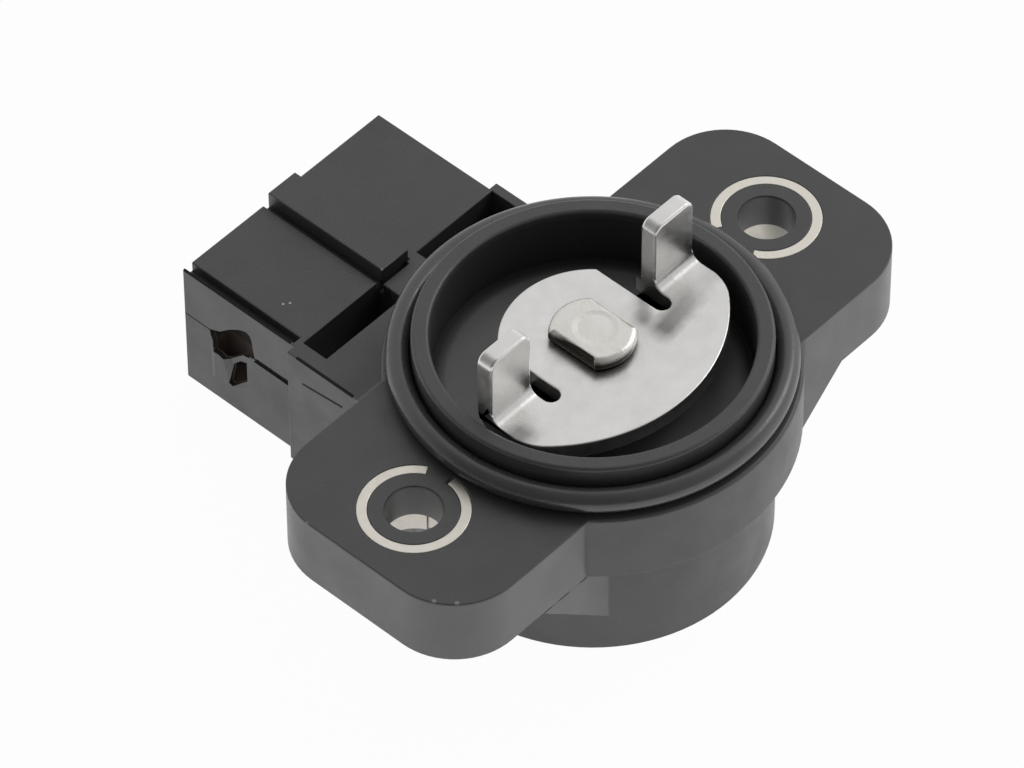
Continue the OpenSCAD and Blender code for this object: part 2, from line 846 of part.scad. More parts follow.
module rotor_carrier() {
    color(black) {
        difference() {
            translate([0, 0, carrier_z])
                linear_extrude(carrier_thick) {
                    difference() {
                        union() {
                            circle(carrier_r);
                            arc_band(shaft_r, stop_lug_r, stop_lug_angle - stop_lug_half,
                                stop_lug_angle + stop_lug_half);
                        }
                        double_d(shaft_end_r + seat_gap, shaft_end_flat + seat_gap);
                    }
                }
            translate([spring_r * cos(spring_last + 8), spring_r * sin(spring_last + 8), carrier_z - past])
                cylinder(r = spring_wire / 2 + 0.2, h = carrier_thick + 2 * past);
        }
        stake_places()
            translate([0, 0, carrier_z - wiper_thick - 0.4])
                cylinder(r = stake_r, h = wiper_thick + 0.4 + past / 2);
    }
}

// Wiper: one sheet, staked under the carrier, with a finger for each track
module finger(x) {
    drop = carrier_z - board_z - print_thick - contact_gap;
    run = 3.4;
    translate([x - finger_width / 2, 0, carrier_z])
        rotate([90, 0, 90])
            linear_extrude(finger_width)
                polygon([
                    [wiper_base_to - 0.2, 0], [wiper_base_to, 0],
                    [wiper_base_to + run, wiper_thick - drop],
                    [wiper_base_to + run + 0.6, wiper_thick + 0.3 - drop],
                    [wiper_base_to + run + 0.7, 0.1 - drop + wiper_thick / 2],
                    [wiper_base_to + run, -drop],
                    [wiper_base_to - 0.1, -wiper_thick], [wiper_base_to - 0.2, -wiper_thick]
                ]);
}

module wiper() {
    color(bronze) {
        difference() {
            rotate([0, 0, wiper_angle])
                translate([wiper_inner, wiper_base_from, carrier_z - wiper_thick])
                    cube([wiper_outer - wiper_inner, wiper_base_to - wiper_base_from, wiper_thick]);
            stake_places()
                translate([0, 0, carrier_z - wiper_thick - past])
                    cylinder(r = stake_r + seat_gap, h = wiper_thick + 2 * past);
        }
        rotate([0, 0, wiper_angle]) {
            finger((collector_from + collector_to) / 2);
            finger((resistor_from + resistor_to) / 2 - 0.4);
        }
    }
}

module retaining_clip() {
    color(spring_grey)
        translate([0, 0, clip_z])
            linear_extrude(clip_thick)
                difference() {
                    circle(clip_r);
                    circle(clip_groove_r + seat_gap);
                    translate([0, -clip_r])
                        square([2 * clip_groove_r, 2 * clip_r], center = true);
                }
}

// Board with its tracks: the rotor's wiper bridges the two bands
module leg_holes(gap) {
    for (i = [-1:1])
        translate([i * blade_pitch, leg_place])
            square([neck_width + 2 * gap, blade_thick + 2 * gap], center = true);
}

module resistor_board() {
    color(board_green)
        translate([0, 0, board_under])
            linear_extrude(board_thick)
                difference() {
                    keyhole(board_r, tongue_half, tongue_end, tongue_corner_r);
                    circle(board_hole_r);
                    leg_holes(seat_gap);
                }
}

module resistor_track() {
    color(black)
        translate([0, 0, board_z])
            linear_extrude(print_thick)
                arc_band(resistor_from, resistor_to, track_from, track_to);
}

module collector_track() {
    color(tin)
        translate([0, 0, board_z])
            linear_extrude(print_thick) {
                arc_band(collector_from, collector_to, 86, 200);
                arc_band(collector_from, collector_to, 199, track_to);
            }
}

module lead_pad(x) {
    translate([x, leg_place])
        difference() {
            circle(pad_r);
            square([neck_width + 2 * seat_gap, blade_thick + 2 * seat_gap], center = true);
        }
}

module conductor_leads() {
    band_in = resistor_to + 0.6;
    band_out = band_in + lead_width;
    strip_end = sqrt(band_in * band_in - blade_pitch * blade_pitch);
    color(tin)
        translate([0, 0, board_z])
            linear_extrude(print_thick) {
                for (i = [-1:1])
                    lead_pad(i * blade_pitch);
                translate([-lead_width / 2, collector_to])
                    square([lead_width, leg_place - pad_r + pad_overlap - collector_to]);
                for (side = [-1, 1])
                    translate([side * blade_pitch - lead_width / 2, strip_end])
                        square([lead_width, leg_place - pad_r + pad_overlap - strip_end]);
                arc_band(band_in, band_out, 118, track_from);
                arc_band(resistor_to, band_out, track_from, track_from + 4);
                arc_band(band_in, band_out, track_to - 360, 62);
                arc_band(resistor_to, band_out, track_to - 4, track_to);
            }
}

// Terminal: a blade in the socket, a neck through the web and a leg down to the board
module terminal(place) {
    half = blade_width / 2;
    leg_low = board_under - leg_tail;
    translate([place * blade_pitch, 0, socket_z - blade_thick / 2]) {
        linear_extrude(blade_thick)
            polygon([
                [-neck_width / 2, leg_place - blade_thick / 2],
                [neck_width / 2, leg_place - blade_thick / 2],
                [neck_width / 2, shroud_back - 0.8], [half, shroud_back], [half, blade_tip - blade_taper],
                [half - 0.7, blade_tip], [0.7 - half, blade_tip], [-half, blade_tip - blade_taper],
                [-half, shroud_back], [-neck_width / 2, shroud_back - 0.8]
            ]);
    }
    translate([place * blade_pitch - neck_width / 2, leg_place - blade_thick / 2, leg_low])
        cube([neck_width, blade_thick, socket_z - leg_low]);
}

module supply_terminal() {
    color(tin) terminal(-1);
}

module signal_terminal() {
    color(tin) terminal(0);
}

module ground_terminal() {
    color(tin) terminal(1);
}

module solder_joints() {
    color(tin)
        for (i = [-1:1])
            difference() {
                translate([i * blade_pitch, leg_place, board_under - leg_tail + 0.1])
                    cylinder(r1 = 1, r2 = 1.5, h = leg_tail - 0.1);
                terminal(i);
            }
}

module cover_gasket() {
    color(rubber_black)
        translate([0, 0, cover_top])
            linear_extrude(gasket_thick)
                difference() {
                    keyhole(cover_r, cover_tongue_half, cover_tongue_end, cover_corner_r);
                    keyhole(board_r + seat_gap, tongue_half + seat_gap, tongue_end + seat_gap,
                        tongue_corner_r);
                }
}

// Back cover with a low ring that holds the board against its ledge
module back_cover() {
    ring_in = board_r - 1.6;
    color(black) {
        translate([0, 0, cover_top - cover_thick])
            linear_extrude(cover_thick)
                keyhole(cover_r, cover_tongue_half, cover_tongue_end, cover_corner_r);
        translate([0, 0, cover_top])
            linear_extrude(board_under - cover_top)
                difference() {
                    circle(board_r - 0.6);
                    circle(ring_in);
                }
    }
}

housing();
mounting_bush_left();
mounting_bush_right();
flange_o_ring();
driver_plate();
rotor_shaft();
thrust_washer();
shaft_seal();
shaft_bearing();
return_spring();
rotor_carrier();
wiper();
retaining_clip();
resistor_board();
resistor_track();
collector_track();
conductor_leads();
supply_terminal();
signal_terminal();
ground_terminal();
solder_joints();
cover_gasket();
back_cover();
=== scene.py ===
"""Throttle position sensor: the finish of every surface, the studio and the camera.

Everything is in metres in the part's own frame: the origin is on the shaft's axis in the
flange's mounting face, +Z out of the mounting side, +Y towards the mouth of the plug socket.
"""
import math

import bmesh
import bpy
from mathutils import Matrix, Vector
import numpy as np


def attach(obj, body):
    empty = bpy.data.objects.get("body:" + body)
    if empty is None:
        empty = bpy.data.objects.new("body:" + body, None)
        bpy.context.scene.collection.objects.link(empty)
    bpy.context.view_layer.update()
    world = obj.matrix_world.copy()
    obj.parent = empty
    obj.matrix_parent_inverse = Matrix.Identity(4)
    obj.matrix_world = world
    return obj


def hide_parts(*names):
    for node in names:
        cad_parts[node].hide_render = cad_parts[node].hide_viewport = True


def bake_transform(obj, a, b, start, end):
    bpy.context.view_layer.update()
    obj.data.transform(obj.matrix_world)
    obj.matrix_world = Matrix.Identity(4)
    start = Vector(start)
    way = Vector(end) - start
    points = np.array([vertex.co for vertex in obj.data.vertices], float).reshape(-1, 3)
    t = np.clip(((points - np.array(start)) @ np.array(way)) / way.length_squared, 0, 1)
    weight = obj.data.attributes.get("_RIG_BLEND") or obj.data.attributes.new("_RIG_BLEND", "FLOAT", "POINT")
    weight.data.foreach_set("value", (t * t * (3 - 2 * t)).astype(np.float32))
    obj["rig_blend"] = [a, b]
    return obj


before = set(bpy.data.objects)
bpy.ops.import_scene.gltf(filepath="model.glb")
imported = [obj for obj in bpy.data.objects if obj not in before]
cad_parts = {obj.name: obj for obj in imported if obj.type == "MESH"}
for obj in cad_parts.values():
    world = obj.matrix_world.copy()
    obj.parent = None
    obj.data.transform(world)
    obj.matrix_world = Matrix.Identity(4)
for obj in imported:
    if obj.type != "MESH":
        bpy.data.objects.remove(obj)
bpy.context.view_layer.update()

MM = 0.001
HOUSING_BODY = "sensor_body"
ROTOR_BODY = "rotor"

# Places on the sensor that the looks need, as the solids have them
BACK_FACE = -17.1 * MM
FLANGE_FOOT = -6.4 * MM
RIM_TOP = 3.28 * MM
RIM_INNER = 12.42 * MM
COLLAR = 16.1 * MM
BODY = 14.15 * MM
PLATE_TOP = 2.45 * MM
SLOT_END = Vector((6.27, -1.4, 2.45)) * MM
SHROUD_SIDE = 11.15 * MM
MOUTH = 32.7 * MM
PARTING = -9.65 * MM
WEB_END = 20.85 * MM
WEB_TOP = -4.72 * MM
RIB_TOP = -3.72 * MM
RIB_END = 20.55 * MM
RIB_SIDE = 1.5 * MM
DIP_FLOOR = 10.95 * MM
LEFT_HOLE = Vector((-20, 0, 0)) * MM
LINER_FOOT = -3.3 * MM
BUSH_BORE = 3.53 * MM

# Forms made here: the O-ring, the riveted head and the rounded edges, and where the spring's blend from the
# housing to the rotor starts and ends
RING_MIDDLE = (14.83 * MM, 1.0 * MM)
RING_SECTION = 1.9 * MM
HEAD_TOP = 3.7 * MM
HEAD_OUTLINE = 3.42 * MM
HEAD_FLAT = 2.42 * MM
HEAD_WAIST = 0.45 * MM
HEAD_ROLL = 0.5 * MM
HEAD_CORNER = 0.45 * MM
SPRING_WIRE = 0.7 * MM
SPRING_LEG = 1.6 * MM
MOULD_EDGE = 0.1 * MM
SHEET_EDGE = 0.12 * MM
BUSH_EDGE = 0.06 * MM
TAB_START = 0.6 * MM

# How finely the forms are divided, what counts as one place and as one face, and what stays sharp
RING_SEGMENTS = 40
RING_STEPS = 240
HEAD_SEGMENTS = 120
CORNER_SEGMENTS = 5
ROLL_STEPS = 8
WAIST_STEPS = 5
TABLE_SEGMENTS = 96
MERGE = 0.0005 * MM
NEAR = 0.05 * MM
FLAT_ANGLE = math.radians(0.6)
EDGE_ANGLE = math.radians(32)
HEAD_ANGLE = math.radians(35)
WIRE_ANGLE = math.radians(50)

# Around the latch window, and where the dip under it ends
WINDOW_RIGHT = -8 * MM
WINDOW_ALONG = (21 * MM, 31 * MM)
WINDOW_HEIGHT = (-15.6 * MM, -6 * MM)
DIP_FOOT = -13.2 * MM
DIP_END = 28.5 * MM

# Lines that the tool's halves left, and edges and a corner painted with shade where steps and grooves fall
# dark, as boxes around them
PARTING_LINE = {"Y": (WEB_END, MOUTH), "Z": (PARTING - 0.09 * MM, PARTING + 0.09 * MM)}
PARTING_SIDE = (SHROUD_SIDE - 0.2 * MM, SHROUD_SIDE + 0.4 * MM)
WEB_LINE = {"Y": (15.0 * MM, 19.3 * MM)}
WEB_LINE_SIDE = (SHROUD_SIDE + 0.5 * MM, SHROUD_SIDE + 2 * MM)
WEB_LINE_HEIGHT = (-5.15 * MM, -4.87 * MM)
WEB_LINE_FALL = 0.116
WEB_EDGE_SHADE = {"X": (-12.3 * MM, -11.72 * MM), "Y": (13.9 * MM, 19.9 * MM),
            "Z": (WEB_TOP - 0.16 * MM, WEB_TOP + 0.2 * MM)}
SHROUD_EDGE_SHADE = {"X": (-SHROUD_SIDE - 0.1 * MM, -10.6 * MM), "Y": (21.2 * MM, MOUTH + 0.2 * MM),
               "Z": (WEB_TOP - 0.14 * MM, WEB_TOP + 0.2 * MM)}
RIB_END_SHADE = {"X": (-1.48 * MM, 1.55 * MM), "Y": (RIB_END - 0.2 * MM, RIB_END + 0.03 * MM),
            "Z": (WEB_TOP - 0.1 * MM, RIB_TOP - 0.08 * MM)}
CHANNEL_CORNER_SHADE = {"X": (-2.5 * MM, -1.1 * MM), "Y": (19.3 * MM, 20.75 * MM),
                  "Z": (WEB_TOP - 1.1 * MM, WEB_TOP - 0.12 * MM)}
FLANGE_FLASH = {"X": (-19.2 * MM, -12.2 * MM), "Y": (-12.5 * MM, -9.4 * MM),
                "Z": (FLANGE_FOOT - 0.08 * MM, FLANGE_FOOT + 0.08 * MM)}

# Where the plastic's colour changes: painted shade on the cup's wall and painted light on its floor, painted
# light on the sides, painted light in the latch window and on its lip, and pale specks, some of them painted
# glints
CUP_DEPTH = (-8 * MM, RIM_TOP - 0.5 * MM)
CUP_WALL = (RIM_INNER - 0.85 * MM, RIM_INNER + 0.7 * MM)
CUP_SHADED_SIDE = (-10.6 * MM, -8.2 * MM)
CUP_FLOOR_EDGE = (RIM_INNER - 1.2 * MM, RIM_INNER - 0.4 * MM)
SIDES_ALONG = (-16 * MM, 13.5 * MM)
SIDES_TOP = -0.22 * MM
POCKET = {"X": (-10.75 * MM, -8.7 * MM), "Y": (24.7 * MM, 30.4 * MM), "Z": (-14.9 * MM, -6.6 * MM)}
SLOT_TOP = (-11.9 * MM, -11.5 * MM)
WINDOW_LIP_HIGHLIGHT = {"X": (-11.4 * MM, -10.9 * MM), "Y": (29.64 * MM, 29.86 * MM), "Z": (-14.9 * MM, -11.6 * MM)}
SCUFF = Vector((-12.2, 19.5, -7.9)) * MM
# Painted glints at two ejector-pin dimples on the shroud and at the key rib's corner
EJECTOR_GLINTS = (Vector((-8.55, 24.44, -4.72)) * MM, Vector((-8.11, 24.11, -4.72)) * MM,
                  Vector((-1.45, 20.6, -3.75)) * MM)
FLASH_SPECKS = (Vector((-26.43, 5.02, 0)) * MM, Vector((-26.79, 3.96, 0)) * MM,
                Vector((-25.6, -7.21, 0)) * MM, Vector((-24.6, -8.6, 0)) * MM)
RIM_TICKS = tuple(math.radians(turn) for turn in (219, 222, 224.5, 229, 232))

# Painted shade on the driver plate: a patch beside the right slot's end and a slanted band along the foot of
# each tab
SLOT_SHADE_PATCH = Vector((4.13, -1.47, 2.45)) * MM
BEND_FOOT = (-3.9 * MM, -2.1 * MM)
BEND_SLANT = 0.14
BEND_START = 3.65 * MM

# Colours of the plastic, from the darkest to the palest: the lines' black is partly painted shade, the cup
# wall's black is painted shade, the pocket's and slot's browns and the sides', cup floor's and lip's greys
# are painted light, and the specks' white is partly painted glints
LINE_AND_SHADE_BLACK = (0.004, 0.004, 0.004)
CUP_WALL_SHADE = (0.012, 0.012, 0.012)
PLASTIC_DARK = (0.044, 0.044, 0.045)
PLASTIC_BLACK = (0.05, 0.05, 0.051)
PLASTIC_PALE = (0.054, 0.054, 0.055)
GRAIN_GREY = (0.075, 0.075, 0.077)
POCKET_PAINTED_LIGHT = (0.15, 0.13, 0.11)
SIDE_PAINTED_LIGHT = (0.17, 0.17, 0.172)
CUP_FLOOR_LIGHT = (0.2, 0.2, 0.202)
DUST_GREY = (0.2, 0.2, 0.2)
LIP_HIGHLIGHT_GREY = (0.22, 0.22, 0.22)
SCUFF_GREY = (0.26, 0.26, 0.24)
SLOT_PAINTED_LIGHT = (0.34, 0.28, 0.25)
SPECK_AND_GLINT_WHITE = (0.6, 0.6, 0.58)

# Colours of the other materials
RUBBER_BLACK = (0.06, 0.06, 0.06)
SHEET_DULL = (0.83, 0.82, 0.8)
SHEET_BRIGHT = (0.91, 0.9, 0.885)
SHEET_SHADE = (0.16, 0.16, 0.16)
HEAD_DULL = (0.83, 0.81, 0.765)
HEAD_BRIGHT = (0.91, 0.89, 0.85)
# The head's brown and black below are painted dark reflection
HEAD_REFLECTION_BROWN = (0.3, 0.25, 0.21)
HEAD_FOOT_SHADE_BLACK = (0.03, 0.025, 0.02)
BUSH_PALE = (0.9, 0.86, 0.78)
BUSH_BORE_GREY = (0.58, 0.55, 0.5)
BOARD_DARK = (0.045, 0.12, 0.06)
BOARD_GREEN = (0.06, 0.15, 0.08)

# The photograph's camera: its line of sight, its distance, and the origin's place in the picture
VIEW_AZIMUTH = math.radians(-47.46)
VIEW_ELEVATION = math.radians(48.45)
VIEW_ROLL = math.radians(-0.264)
VIEW_DISTANCE = 626.7 * MM
FOCAL_PIXELS = 8255.5
IMAGE_WIDTH = 1024
SENSOR_WIDTH = 36.0
ORIGIN_RIGHT = 80.9
ORIGIN_UP = 23.2

# The studio: the table, the tent's level, its dark opening behind the camera and its brighter side
TABLE_GLOW = 0.97
TABLE_RADIUS = 1.5
TABLE_DROP = 0.02 * MM
TENT_LEVEL = 0.68
TENT_OPENING = 0.52
TENT_BRIGHT = 0.25
OPEN_SIDE = (-0.6, -0.55, 0.62)
BRIGHT_SIDE = (0.75, -0.55, 0.4)
KEY_PLACE = (0.45, -0.1, 0.4)
KEY_SIZE = 0.2
KEY_POWER = 0.38


def link(obj):
    """Puts an object into the scene."""
    bpy.context.scene.collection.objects.link(obj)
    return obj


def place_camera():
    """Camera at the photograph's viewing angle, slid sideways so that the part sits as framed."""
    ahead = Vector((
        -math.sin(VIEW_AZIMUTH) * math.cos(VIEW_ELEVATION),
        math.cos(VIEW_AZIMUTH) * math.cos(VIEW_ELEVATION),
        -math.sin(VIEW_ELEVATION),
    ))
    right = Vector((math.cos(VIEW_AZIMUTH), math.sin(VIEW_AZIMUTH), 0))
    up = right.cross(ahead)
    rolled_right = math.cos(VIEW_ROLL) * right + math.sin(VIEW_ROLL) * up
    rolled_up = -math.sin(VIEW_ROLL) * right + math.cos(VIEW_ROLL) * up
    slide = VIEW_DISTANCE / FOCAL_PIXELS
    data = bpy.data.cameras.new("photo_camera")
    data.sensor_width = SENSOR_WIDTH
    data.lens = FOCAL_PIXELS * SENSOR_WIDTH / IMAGE_WIDTH
    data.clip_start = 0.01
    data.clip_end = 10
    camera = link(bpy.data.objects.new("photo_camera", data))
    aside = rolled_right * ORIGIN_RIGHT * slide + rolled_up * ORIGIN_UP * slide
    place = -ahead * VIEW_DISTANCE - aside
    turn = Matrix((rolled_right, rolled_up, -ahead)).transposed()
    camera.matrix_world = Matrix.Translation(place) @ turn.to_4x4()
    bpy.context.scene.camera = camera


class Finish:
    """A node material with a Principled shader, and short calls for the nodes it is built from."""

    def __init__(self, name, colour, roughness, metallic=0.0, specular=0.5):
        self.material = bpy.data.materials.new(name)
        self.material.use_nodes = True
        self.material.diffuse_color = (*colour, 1)
        self.nodes = self.material.node_tree.nodes
        self.links = self.material.node_tree.links
        self.shader = self.nodes["Principled BSDF"]
        self.shader.inputs["Base Color"].default_value = (*colour, 1)
        self.shader.inputs["Roughness"].default_value = roughness
        self.shader.inputs["Metallic"].default_value = metallic
        self.shader.inputs["Specular IOR Level"].default_value = specular
        self.place = self.nodes.new("ShaderNodeTexCoord").outputs["Object"]
        self.height = None

    def flattened(self):
        """The object's coordinates without their height."""
        mapping = self.nodes.new("ShaderNodeMapping")
        mapping.inputs["Scale"].default_value = (1, 1, 0)
        self.links.new(self.place, mapping.inputs["Vector"])
        return mapping.outputs["Vector"]

    def noise(self, size, detail=2.0, rough=0.5):
        """Noise with spots of about this size, in metres, from 0 to 1."""
        node = self.nodes.new("ShaderNodeTexNoise")
        node.inputs["Scale"].default_value = 1 / size
        node.inputs["Detail"].default_value = detail
        node.inputs["Roughness"].default_value = rough
        self.links.new(self.place, node.inputs["Vector"])
        return node.outputs["Fac"]

    def spread(self, value, low, high, to_low=0.0, to_high=1.0):
        """Stretches the part of a value between low and high to a new range."""
        node = self.nodes.new("ShaderNodeMapRange")
        limits = (("From Min", low), ("From Max", high), ("To Min", to_low), ("To Max", to_high))
        for key, number in limits:
            node.inputs[key].default_value = number
        self.links.new(value, node.inputs["Value"])
        return node.outputs["Result"]

    def mixed(self, fac, colour_a, colour_b):
        """A colour between two, by a value."""
        node = self.nodes.new("ShaderNodeMix")
        node.data_type = "RGBA"
        for socket, colour in ((node.inputs[6], colour_a), (node.inputs[7], colour_b)):
            if hasattr(colour, "links"):
                self.links.new(colour, socket)
            else:
                socket.default_value = (*colour, 1)
        self.links.new(fac, node.inputs[0])
        return node.outputs[2]

    def math(self, operation, a, b):
        """One step of arithmetic on values or numbers."""
        node = self.nodes.new("ShaderNodeMath")
        node.operation = operation
        for socket, value in ((node.inputs[0], a), (node.inputs[1], b)):
            if hasattr(value, "links"):
                self.links.new(value, socket)
            else:
                socket.default_value = value
        return node.outputs[0]

    def all_of(self, *masks):
        """Several masks multiplied."""
        product = masks[0]
        for mask in masks[1:]:
            product = self.math("MULTIPLY", product, mask)
        return product

    def any_of(self, *masks):
        """The largest of several masks."""
        largest = masks[0]
        for mask in masks[1:]:
            largest = self.math("MAXIMUM", largest, mask)
        return largest

    def fading(self, value, low, high, strength=1.0):
        """This strength below a value and nothing above it."""
        return self.spread(value, low, high, strength, 0.0)

    def axis(self, name):
        """One of the object's coordinates, X, Y or Z."""
        node = self.nodes.new("ShaderNodeSeparateXYZ")
        self.links.new(self.place, node.inputs["Vector"])
        return node.outputs[name]

    def inside(self, value, low, high, soft=0.05 * MM):
        """1 where a value lies between low and high, with soft ends, else 0."""
        rise = self.spread(value, low - soft, low + soft)
        fall = self.fading(value, high - soft, high + soft)
        return self.math("MULTIPLY", rise, fall)

    def within(self, soft=0.05 * MM, **ranges):
        """1 inside a box given as X=(low, high) and so on, else 0."""
        mask = None
        for name, (low, high) in ranges.items():
            part = self.inside(self.axis(name), low, high, soft)
            mask = self.math("MULTIPLY", mask, part) if mask else part
        return mask

    def far(self, centre, place=None):
        """Distance from a place, of the object's coordinates or of others that are given."""
        node = self.nodes.new("ShaderNodeVectorMath")
        node.operation = "DISTANCE"
        node.inputs[1].default_value = centre
        self.links.new(place or self.place, node.inputs[0])
        return node.outputs["Value"]

    def around(self):
        """Distance from the shaft's axis."""
        return self.far((0, 0, 0), self.flattened())

    def drive(self, name, value):
        """Lets a pattern set one of the shader's values."""
        self.links.new(value, self.shader.inputs[name])

    def bump(self, value, depth):
        """Adds relief of this depth, in metres; several add up."""
        node = self.nodes.new("ShaderNodeBump")
        node.inputs["Distance"].default_value = depth
        self.links.new(value, node.inputs["Height"])
        if self.height:
            self.links.new(self.height, node.inputs["Normal"])
        self.height = node.outputs["Normal"]
        self.links.new(self.height, self.shader.inputs["Normal"])


def witness_lines_and_shade(f):
    """Lines where the tool's halves met along the shroud's and the web's sides, and flash on the flange's
    foot; painted shade along the web's and the shroud's top edges, on the key rib's end face and in the
    channel's corner.
    """
    side = f.math("ABSOLUTE", f.axis("X"), 0)
    parting = f.all_of(f.inside(side, *PARTING_SIDE), f.within(**PARTING_LINE))
    height = f.math("ADD", f.axis("Z"), f.math("MULTIPLY", f.axis("Y"), WEB_LINE_FALL))
    web = f.all_of(f.inside(height, *WEB_LINE_HEIGHT), f.within(**WEB_LINE), f.inside(side, *WEB_LINE_SIDE))
    flash = f.all_of(f.within(**FLANGE_FLASH), f.spread(f.noise(1.1 * MM), 0.38, 0.5))
    # Painted shade along edges and in a corner, where steps and grooves fall dark
    edges = [f.within(**box) for box in (WEB_EDGE_SHADE, SHROUD_EDGE_SHADE, RIB_END_SHADE, CHANNEL_CORNER_SHADE)]
    return f.any_of(parting, web, flash, *edges)


def cup_shade_and_light(f):
    """Painted shade on the cup's wall on its dark side, and painted light on its floor."""
    cup = f.inside(f.axis("Z"), *CUP_DEPTH, 0.4 * MM)
    round_wall = f.inside(f.around(), *CUP_WALL, 0.5 * MM)
    wall = f.all_of(cup, round_wall, f.spread(f.axis("X"), *CUP_SHADED_SIDE))
    floor = f.all_of(cup, f.fading(f.around(), *CUP_FLOOR_EDGE, 0.8))
    return wall, floor


def painted_light_sides(f):
    """Painted light on the flange's sides and the gussets, which stand out lighter from the collar and the
    body.
    """
    upper = f.all_of(f.spread(f.around(), COLLAR + 0.15 * MM, COLLAR + 0.35 * MM),
                     f.within(Y=SIDES_ALONG, Z=(FLANGE_FOOT, SIDES_TOP)))
    lower = f.all_of(f.spread(f.around(), BODY + 0.1 * MM, BODY + 0.25 * MM),
                     f.within(Y=SIDES_ALONG, Z=(BACK_FACE, FLANGE_FOOT)))
    return f.any_of(upper, lower)


def bush_behind_liner(f):
    """The left hole below its plastic liner, where the bush's bore shows."""
    from_hole = f.far(LEFT_HOLE, f.flattened())
    near_bore = f.fading(from_hole, BUSH_BORE + 0.5 * MM, BUSH_BORE + 0.7 * MM)
    below = f.fading(f.axis("Z"), LINER_FOOT - 0.12 * MM, LINER_FOOT - 0.04 * MM)
    return f.all_of(near_bore, below)


def specks_and_glints(f):
    """Pale specks: painted glints at two ejector-pin dimples on the shroud and at the key rib's corner,
    flash on the flange's edge and ticks along the rim.
    """
    rim_ticks = [Vector((math.cos(turn), math.sin(turn), 0)) * (RIM_INNER - 0.1 * MM)
                 + Vector((0, 0, RIM_TOP)) for turn in RIM_TICKS]
    kinds = (
        (EJECTOR_GLINTS, 0.06 * MM, 0.13 * MM, 1.0),
        (FLASH_SPECKS, 0.1 * MM, 0.24 * MM, 0.35),
        (rim_ticks, 0.12 * MM, 0.3 * MM, 0.3),
    )
    return f.any_of(*(f.fading(f.far(place), core, edge, strength)
                      for places, core, edge, strength in kinds for place in places))


def moulded_black():
    """Glass-filled black plastic with a fine spark-eroded grain, cloudy sheen and marks of use, and with
    painted shade and painted light in the cup, on the sides, along edges, in the latch window and as glints.
    """
    f = Finish("moulded_black", PLASTIC_BLACK, 0.5, specular=0.9)
    cloud = f.noise(9 * MM, 3, 0.6)
    speckle = f.noise(0.14 * MM, 2, 0.6)
    colour = f.mixed(f.spread(cloud, 0.35, 0.65), PLASTIC_DARK, PLASTIC_PALE)
    colour = f.mixed(f.spread(speckle, 0.35, 0.7, 0.0, 0.55), colour, GRAIN_GREY)
    wall, floor = cup_shade_and_light(f)
    # Painted shade on the cup's wall and painted light on its floor
    colour = f.mixed(wall, f.mixed(floor, colour, CUP_FLOOR_LIGHT), CUP_WALL_SHADE)
    # Painted light: the flange's sides and the gussets are coloured lighter than the tops
    colour = f.mixed(f.math("MULTIPLY", painted_light_sides(f), 0.8), colour, SIDE_PAINTED_LIGHT)
    lines_and_shade = witness_lines_and_shade(f)
    # Black of the parting lines and flash, and painted shade along edges
    colour = f.mixed(lines_and_shade, colour, LINE_AND_SHADE_BLACK)
    # Painted light: the latch window's pocket, and the slot below it more so, are paler brown than their
    # shade would leave them
    pocket = f.within(**POCKET)
    colour = f.mixed(pocket, colour, POCKET_PAINTED_LIGHT)
    slot = f.all_of(pocket, f.fading(f.axis("Z"), *SLOT_TOP))
    colour = f.mixed(slot, colour, SLOT_PAINTED_LIGHT)
    ragged = f.math("ADD", f.far(SCUFF), f.math("MULTIPLY", cloud, 1.2 * MM))
    colour = f.mixed(f.fading(ragged, 0.5 * MM, 1.9 * MM, 0.4), colour, SCUFF_GREY)
    dust = f.spread(f.noise(0.3 * MM, 1, 0.4), 0.76, 0.8)
    colour = f.mixed(f.math("MULTIPLY", dust, 0.35), colour, DUST_GREY)
    # Painted highlight: a pale line along the outer edge of the dip under the latch window
    colour = f.mixed(f.math("MULTIPLY", f.within(**WINDOW_LIP_HIGHLIGHT), 0.8), colour, LIP_HIGHLIGHT_GREY)
    # Pale flash and ticks, and painted glints
    colour = f.mixed(specks_and_glints(f), colour, SPECK_AND_GLINT_WHITE)
    steel = bush_behind_liner(f)
    f.drive("Metallic", steel)
    f.drive("Base Color", f.mixed(steel, colour, BUSH_BORE_GREY))
    sheen = f.spread(f.noise(3.5 * MM, 4, 0.6), 0.3, 0.7, 0.37, 0.5)
    f.drive("Roughness", f.any_of(sheen, f.math("MULTIPLY", wall, 0.8), lines_and_shade, pocket))
    f.bump(speckle, 0.014 * MM)
    return f.material


def ring_rubber():
    """Smooth black rubber of the O-ring and the seals, glossier than the plastic."""
    f = Finish("ring_rubber", RUBBER_BLACK, 0.3, specular=1.0)
    f.drive("Roughness", f.spread(f.noise(1.2 * MM, 3), 0.35, 0.65, 0.25, 0.36))
    f.bump(f.noise(0.4 * MM, 2), 0.006 * MM)
    return f.material


